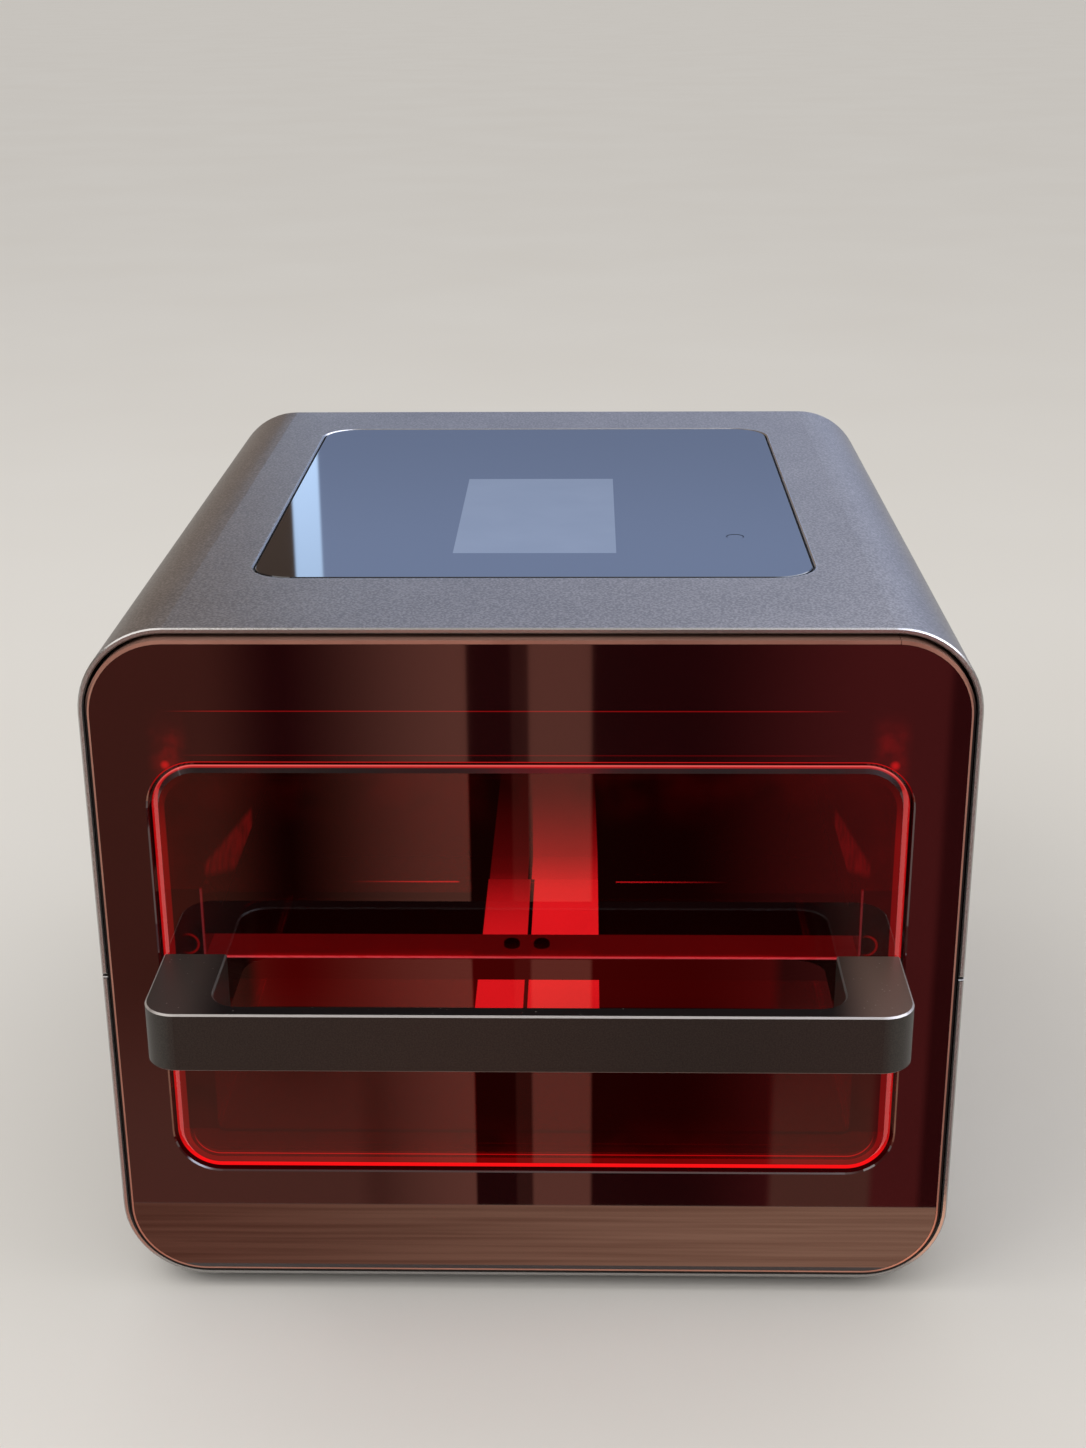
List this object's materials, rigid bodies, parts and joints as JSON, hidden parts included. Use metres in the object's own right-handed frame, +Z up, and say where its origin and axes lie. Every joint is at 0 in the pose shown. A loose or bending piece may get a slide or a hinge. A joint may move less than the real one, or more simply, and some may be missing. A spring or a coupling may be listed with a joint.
{
  "type": "dental lab light curing unit",
  "caption": "Bench-top light curing unit with a wrap-round metal housing, glass control panel, and a windowed drawer with a bar handle that slides out on telescopic runners.",
  "frame": {"origin": "middle of the footprint box (handle to back edge) on the surface the feet stand on", "axes": "+X to the right seen from the front, +Y from the drawer front to the back panel, +Z up"},
  "size_m": [0.3, 0.3826, 0.2554],
  "materials": {
    "housing_metal": "satin bead-blast powder coat",
    "black_metal": "matt black",
    "handle_metal": "matt near-black anodised",
    "bezel_metal": "rose-bronze anodised",
    "mirror_sheet": "bright mirror sheet",
    "smoked_red": "gloss smoked red acrylic",
    "clear_red": "gloss clear red acrylic",
    "black_glass": "gloss black-backed glass",
    "clear_glass": "polished",
    "black_plastic": "fine texture",
    "gloss_black": "gloss",
    "white_plastic": "plain",
    "rubber": "matt",
    "foam": "silicone foam",
    "steel": "zinc plated",
    "dark_screw": "black zinc",
    "aluminium": "mill finish",
    "board": "solder mask",
    "display": "display",
    "silicone_orange": "heater silicone",
    "ribbon": "flat cable"
  },
  "bodies": {
    "housing": {"top_shell": "housing_metal", "bottom_shell": "housing_metal", "rubber_feet": "rubber", "foot_screws": "steel", "front_bulkhead": "black_metal", "chamber_liner": "mirror_sheet", "control_glass": "black_glass", "control_carrier": "black_plastic", "display_module": "display", "control_board": "board", "tact_switch": "black_plastic", "rear_panel": "black_metal", "panel_screws": "steel", "fan_screws": "steel", "mains_inlet": "black_plastic", "mains_switch_housing": "black_plastic", "usb_port": "steel", "chassis_base": "steel", "heater_mat": "silicone_orange", "insulation_pad": "foam", "temperature_probe": "steel", "main_board": "board", "power_supply": "steel", "reed_switch": "white_plastic", "ribbon_cable": "ribbon", "led_frames": "black_plastic", "fan_frame_left": "black_plastic", "fan_frame_right": "black_plastic", "runner_outer_left": "steel", "runner_outer_right": "steel", "led_window_left": "clear_glass", "led_window_right": "clear_glass", "led_window_floor": "clear_glass", "led_board_left": "board", "led_board_right": "board", "led_board_floor": "board", "heat_sink_left": "aluminium", "heat_sink_right": "aluminium", "heat_sink_floor": "aluminium"},
    "drawer": {"drawer_bezel": "bezel_metal", "drawer_fascia": "smoked_red", "window_pane": "clear_red", "drawer_frame": "black_plastic", "drawer_seal": "rubber", "handle": "handle_metal", "handle_screws": "steel", "drawer_pan": "mirror_sheet", "handle_bracket": "black_metal", "pane_clamp": "black_plastic", "bracket_screws": "dark_screw", "curing_plate": "clear_glass", "interlock_magnet": "steel", "runner_inner_left": "steel", "runner_inner_right": "steel"},
    "runner_left": {"runner_middle_left": "steel"},
    "runner_right": {"runner_middle_right": "steel"},
    "fan_left": {"fan_rotor_left": "black_plastic"},
    "fan_right": {"fan_rotor_right": "black_plastic"},
    "power_button": {"power_button": "gloss_black"},
    "mains_rocker": {"mains_switch_rocker": "gloss_black"}
  },
  "joints": [
    {"name": "drawer_slide", "type": "slide", "parent": "housing", "child": "drawer", "axis": [0, -1, 0], "range_m": [0, 0.21]},
    {"name": "runner_left_slide", "type": "slide", "parent": "housing", "child": "runner_left", "axis": [0, -1, 0], "range_m": [0, 0.105]},
    {"name": "runner_right_slide", "type": "slide", "parent": "housing", "child": "runner_right", "axis": [0, -1, 0], "range_m": [0, 0.105]},
    {"name": "power_button_press", "type": "slide", "parent": "housing", "child": "power_button", "axis": [0, 0, -1], "range_m": [0, 0.0007], "stiffness_N_per_m": 600, "springref_m": -0.0005},
    {"name": "mains_switch_rock", "type": "hinge", "parent": "housing", "child": "mains_rocker", "pos_m": [0.108, 0.18655, 0.086], "axis": [-1, 0, 0], "range_deg": [0, 24]},
    {"name": "fan_left_spin", "type": "hinge", "parent": "housing", "child": "fan_left", "pos_m": [-0.05, 0.17355, 0.194], "axis": [0, 1, 0], "continuous": true},
    {"name": "fan_right_spin", "type": "hinge", "parent": "housing", "child": "fan_right", "pos_m": [0.05, 0.17355, 0.194], "axis": [0, 1, 0], "continuous": true}
  ],
  "couplings": [
    {"joint": "runner_left_slide", "follows": "drawer_slide", "ratio": 0.5},
    {"joint": "runner_right_slide", "follows": "drawer_slide", "ratio": 0.5}
  ]
}
